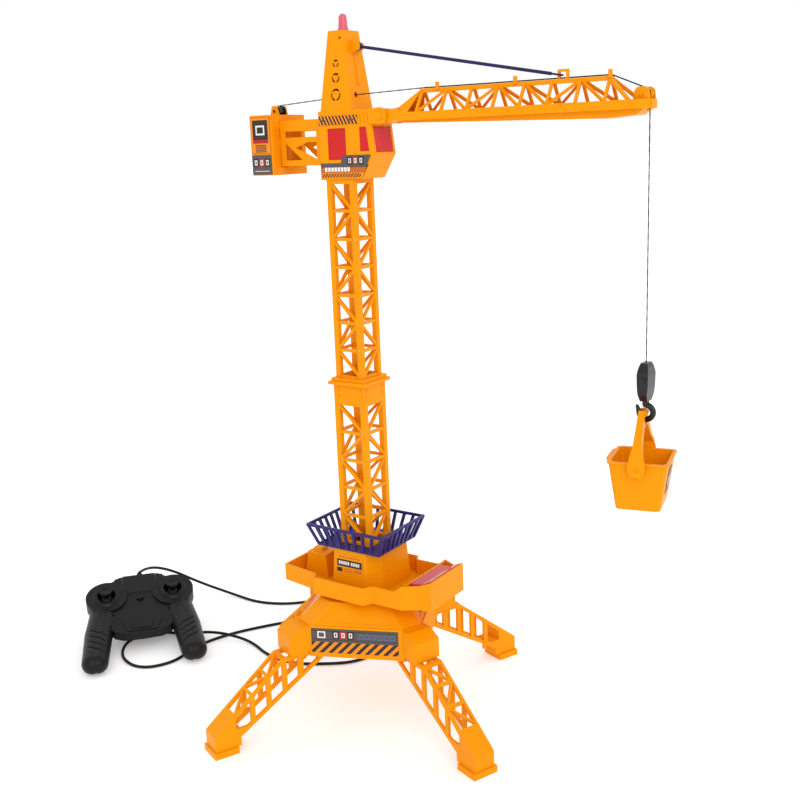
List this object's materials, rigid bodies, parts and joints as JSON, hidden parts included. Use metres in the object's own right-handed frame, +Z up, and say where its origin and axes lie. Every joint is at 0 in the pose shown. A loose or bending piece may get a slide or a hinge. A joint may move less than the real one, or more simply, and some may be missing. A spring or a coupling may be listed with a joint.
{
  "type": "toy tower crane",
  "caption": "Toy tower crane: four truss legs, slewing platform, lattice mast with cab and jib, hoist rope with hook and bucket, and a wired gamepad controller.",
  "frame": {"origin": "on the floor at the centre of the outline of the crane and its controller, without the cable; the slewing axis stands at x 40.98 mm, y -1.05 mm", "axes": "+Z up, +X along the jib at rest, +Y to the jib's left seen from the mast"},
  "size_m": [0.7964, 0.3888, 0.76],
  "materials": {
    "yellow_plastic": "satin moulded orange-yellow plastic",
    "navy_plastic": "satin moulded navy plastic",
    "navy_rod": "satin navy plastic rod",
    "red_window": "tinted red plastic",
    "pink_lamp": "tinted translucent pink-red plastic",
    "black_plastic": "fine matte black plastic",
    "black_gloss": "glossy black plastic",
    "grey_plastic": "matte grey plastic",
    "label": "printed film, dark with plain bars and stripes",
    "steel": "plated steel",
    "black_cable": "matte black cable sheath",
    "black_cord": "black twisted thread",
    "wire": "insulated wire",
    "green_board": "circuit board",
    "bucket_plastic": "satin orange-yellow plastic, redder inside"
  },
  "bodies": {
    "base": {"base_shell": "yellow_plastic", "base_cover": "yellow_plastic", "leg_front_left": "yellow_plastic", "leg_front_right": "yellow_plastic", "leg_back_right": "yellow_plastic", "leg_back_left": "yellow_plastic", "base_screws": "steel", "slew_motor": "steel", "motor_bracket": "grey_plastic", "turntable_race": "grey_plastic", "base_labels": "label", "cable_sleeves": "black_cable", "control_cable": "black_cable", "controller_top_shell": "black_plastic", "controller_bottom_shell": "black_plastic", "battery_door": "black_plastic", "batteries": "steel", "controller_board": "green_board", "controller_screws": "steel", "stick_collars": "black_plastic"},
    "left_stick": {"left_stick": "black_plastic"},
    "right_stick": {"right_stick": "black_plastic"},
    "power_switch": {"power_switch": "black_plastic"},
    "slew_pinion": {"slew_pinion": "grey_plastic"},
    "turntable": {"slew_gear": "grey_plastic", "deck_tray": "yellow_plastic", "deck_console": "yellow_plastic", "nose_window": "red_window", "pedestal": "yellow_plastic", "railing_basket": "navy_plastic", "mast_lower": "yellow_plastic", "mast_upper": "yellow_plastic", "mast_screws": "steel", "mast_wire": "wire", "cab_left_shell": "yellow_plastic", "cab_right_shell": "yellow_plastic", "cab_windows": "red_window", "jib_hinge_pin": "yellow_plastic", "tower_head": "yellow_plastic", "tie_rod_bracket": "yellow_plastic", "beacon_lamp": "pink_lamp", "counter_jib_frame": "yellow_plastic", "winch_box_front": "yellow_plastic", "winch_box_rear": "yellow_plastic", "winch_motor": "steel", "platform_labels": "label", "rope_over_cab": "black_cord"},
    "winch_drum": {"winch_drum": "grey_plastic"},
    "guide_roller": {"guide_roller": "black_gloss"},
    "tip_pulley": {"tip_pulley": "yellow_plastic"},
    "jib": {"jib_truss": "yellow_plastic", "rope_along_jib": "black_cord"},
    "tie_rod": {"tie_rod": "navy_rod"},
    "rope_fall": {"hanging_rope": "black_cord"},
    "hook_block": {"hook_block": "black_gloss", "block_pin": "black_gloss"},
    "hook": {"hook": "black_gloss"},
    "bail": {"bucket_bail": "yellow_plastic"},
    "bucket": {"bucket": "bucket_plastic", "bucket_label": "label"}
  },
  "joints": [
    {"name": "slew", "type": "hinge", "parent": "base", "child": "turntable", "pos_m": [0.04098, -0.00105, 0.143], "axis": [0, 0, 1], "range_deg": [-180, 180]},
    {"name": "slew_pinion_spin", "type": "hinge", "parent": "base", "child": "slew_pinion", "pos_m": [0.08256, 0.01617, 0.123], "axis": [0, 0, 1], "range_deg": [-725, 725]},
    {"name": "luff", "type": "hinge", "parent": "turntable", "child": "jib", "pos_m": [0.09398, -0.00105, 0.658], "axis": [0, -1, 0], "range_deg": [0, 3], "deforming": ["rope_over_cab"]},
    {"name": "tie_rod_swing", "type": "hinge", "parent": "turntable", "child": "tie_rod", "pos_m": [0.05898, -0.00105, 0.727], "axis": [0, -1, 0], "range_deg": [-0.1, 2.5]},
    {"name": "rope_plumb", "type": "hinge", "parent": "jib", "child": "rope_fall", "pos_m": [0.36748, -0.00105, 0.664], "axis": [0, -1, 0], "range_deg": [-3.1, 0.1]},
    {"name": "hoist", "type": "slide", "parent": "rope_fall", "child": "hook_block", "axis": [0, 0, 1], "range_m": [-0.235, 0.2], "deforming": ["hanging_rope"]},
    {"name": "drum_turn", "type": "hinge", "parent": "turntable", "child": "winch_drum", "pos_m": [-0.04802, -0.00105, 0.632], "axis": [0, 1, 0], "continuous": true},
    {"name": "roller_turn", "type": "hinge", "parent": "turntable", "child": "guide_roller", "pos_m": [-0.04902, -0.00105, 0.6685], "axis": [0, 1, 0], "continuous": true},
    {"name": "tip_pulley_turn", "type": "hinge", "parent": "jib", "child": "tip_pulley", "pos_m": [0.36248, -0.00105, 0.664], "axis": [0, 1, 0], "continuous": true},
    {"name": "hook_swivel", "type": "hinge", "parent": "hook_block", "child": "hook", "pos_m": [0.36748, -0.00105, 0.391], "axis": [0, 0, 1], "continuous": true},
    {"name": "bail_swing", "type": "hinge", "parent": "hook", "child": "bail", "pos_m": [0.36748, -0.00105, 0.3792], "axis": [0.9781, 0.2079, 0], "range_deg": [-10, 10]},
    {"name": "bucket_tilt", "type": "hinge", "parent": "bail", "child": "bucket", "pos_m": [0.36494, -0.00159, 0.3336], "axis": [-0.2079, 0.9781, 0], "range_deg": [-34, 34]},
    {"name": "left_stick_tilt", "type": "hinge", "parent": "base", "child": "left_stick", "pos_m": [-0.36948, -0.03441, 0.04808], "axis": [0.6665, 0.7455, 0], "range_deg": [-12, 12], "stiffness_Nm_per_rad": 0.05},
    {"name": "right_stick_tilt", "type": "hinge", "parent": "base", "child": "right_stick", "pos_m": [-0.31163, 0.0303, 0.04808], "axis": [-0.6912, 0.618, 0.3746], "range_deg": [-12, 12], "stiffness_Nm_per_rad": 0.05},
    {"name": "power_switch_slide", "type": "slide", "parent": "base", "child": "power_switch", "axis": [0.6665, 0.7455, 0], "range_m": [-0.0018, 0.0018]}
  ],
  "couplings": [
    {"joint": "slew_pinion_spin", "follows": "slew", "ratio": -4},
    {"joint": "tie_rod_swing", "follows": "luff", "ratio": 0.797},
    {"joint": "rope_plumb", "follows": "luff", "ratio": -1},
    {"joint": "drum_turn", "follows": "hoist", "rad_per_m": -121.95},
    {"joint": "roller_turn", "follows": "hoist", "rad_per_m": -196.08},
    {"joint": "tip_pulley_turn", "follows": "hoist", "rad_per_m": -200}
  ]
}
